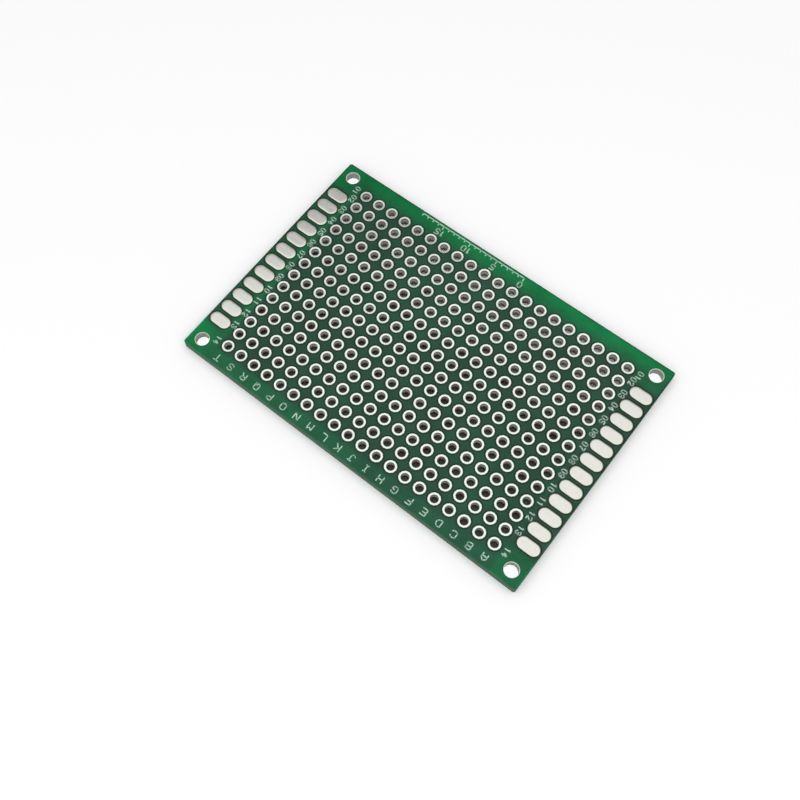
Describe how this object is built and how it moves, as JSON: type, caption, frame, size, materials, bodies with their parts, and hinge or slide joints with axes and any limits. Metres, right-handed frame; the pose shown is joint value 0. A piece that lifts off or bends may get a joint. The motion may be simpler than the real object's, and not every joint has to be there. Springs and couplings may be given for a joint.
{
  "type": "prototype board",
  "caption": "Flat double-sided prototype board with a square grid of plated holes, long solder pads along both short edges and a mounting hole in each corner.",
  "frame": {"origin": "below the middle of the board, level with the crowns of the pads underneath", "axes": "+X along the columns from A to T, +Y along the rows from 01 to 14, +Z out of the lettered face"},
  "size_m": [0.06, 0.04, 0.0016],
  "materials": {
    "laminate": "sawn and drilled glass-epoxy",
    "solder_mask": "glossy green lacquer",
    "tin": "hot-tinned copper",
    "legend": "screen-printed ink"
  },
  "bodies": {
    "root": {"rigid_laminate": "laminate", "solder_mask_front": "solder_mask", "solder_mask_back": "solder_mask", "edge_pads_front_left": "tin", "edge_pads_front_right": "tin", "edge_pads_back_left": "tin", "edge_pads_back_right": "tin", "plated_holes_row_01": "tin", "plated_holes_row_02": "tin", "plated_holes_row_03": "tin", "plated_holes_row_04": "tin", "plated_holes_row_05": "tin", "plated_holes_row_06": "tin", "plated_holes_row_07": "tin", "plated_holes_row_08": "tin", "plated_holes_row_09": "tin", "plated_holes_row_10": "tin", "plated_holes_row_11": "tin", "plated_holes_row_12": "tin", "plated_holes_row_13": "tin", "plated_holes_row_14": "tin"}
  },
  "joints": []
}
